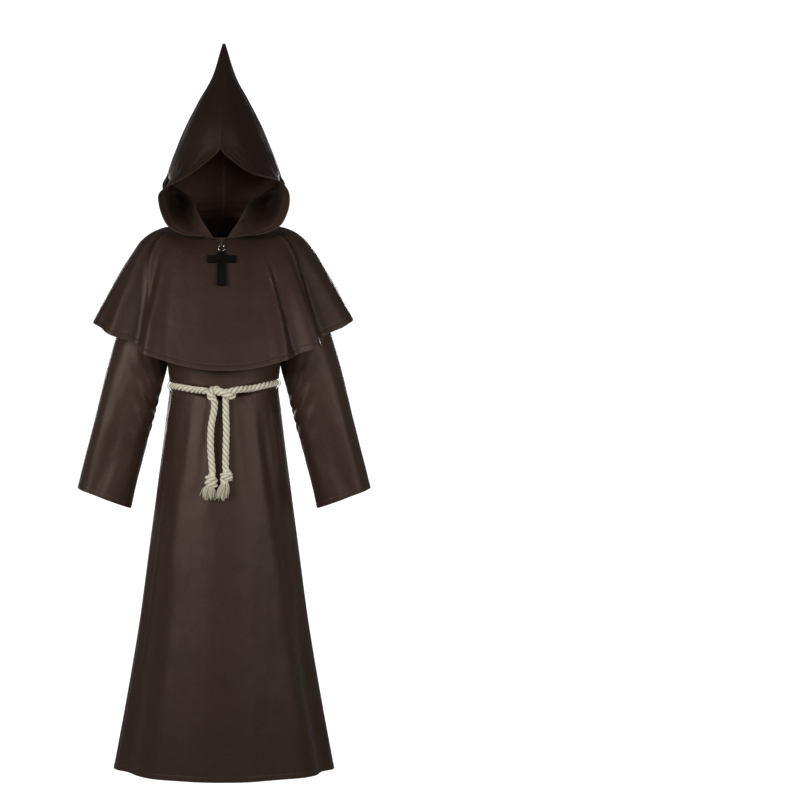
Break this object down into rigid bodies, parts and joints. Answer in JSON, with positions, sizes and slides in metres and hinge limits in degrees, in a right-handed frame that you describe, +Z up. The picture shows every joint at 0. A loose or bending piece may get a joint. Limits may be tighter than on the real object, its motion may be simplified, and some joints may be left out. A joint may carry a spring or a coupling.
{
  "type": "hooded robe",
  "caption": "Long robe with wide sleeves, a shoulder cape with a pointed hood, a knotted rope belt with frayed ends, and a cross hanging at the neck.",
  "frame": {"origin": "middle of the neck base, between the shoulders, where the wearer holds the robe up", "axes": "+Z up, the front faces -Y, the wearer's left is +X"},
  "size_m": [0.732, 0.3663, 1.8124],
  "materials": {
    "robe_cloth": "dark brown polyester, slightly satiny",
    "cape_cloth": "dark brown polyester, slightly satiny",
    "rope": "three-strand twisted cream cotton rope",
    "thread": "dark brown thread",
    "ring_metal": "polished wire",
    "cross_black": "black, slightly glossy"
  },
  "bodies": {
    "garment": {"robe_front": "robe_cloth", "robe_back": "robe_cloth", "sleeve_left": "robe_cloth", "sleeve_right": "robe_cloth", "cape": "cape_cloth", "hood_left": "cape_cloth", "hood_right": "cape_cloth", "belt_rope": "rope", "belt_knot": "rope", "belt_end_right": "rope", "belt_tassel_right": "rope", "belt_end_left": "rope", "belt_tassel_left": "rope", "carrier_left": "thread", "carrier_right": "thread", "neck_loop": "thread"},
    "ring": {"jump_ring": "ring_metal"},
    "cross": {"cross": "cross_black"}
  },
  "joints": [
    {"name": "ring_swing", "type": "hinge", "parent": "garment", "child": "ring", "pos_m": [-0.006, -0.0945, -0.0405], "axis": [-1, 0, 0], "range_deg": [0, 80]},
    {"name": "cross_sway", "type": "hinge", "parent": "ring", "child": "cross", "pos_m": [-0.006, -0.09692, -0.0477], "axis": [0, 0.9478, -0.319], "range_deg": [-40, 40]}
  ]
}
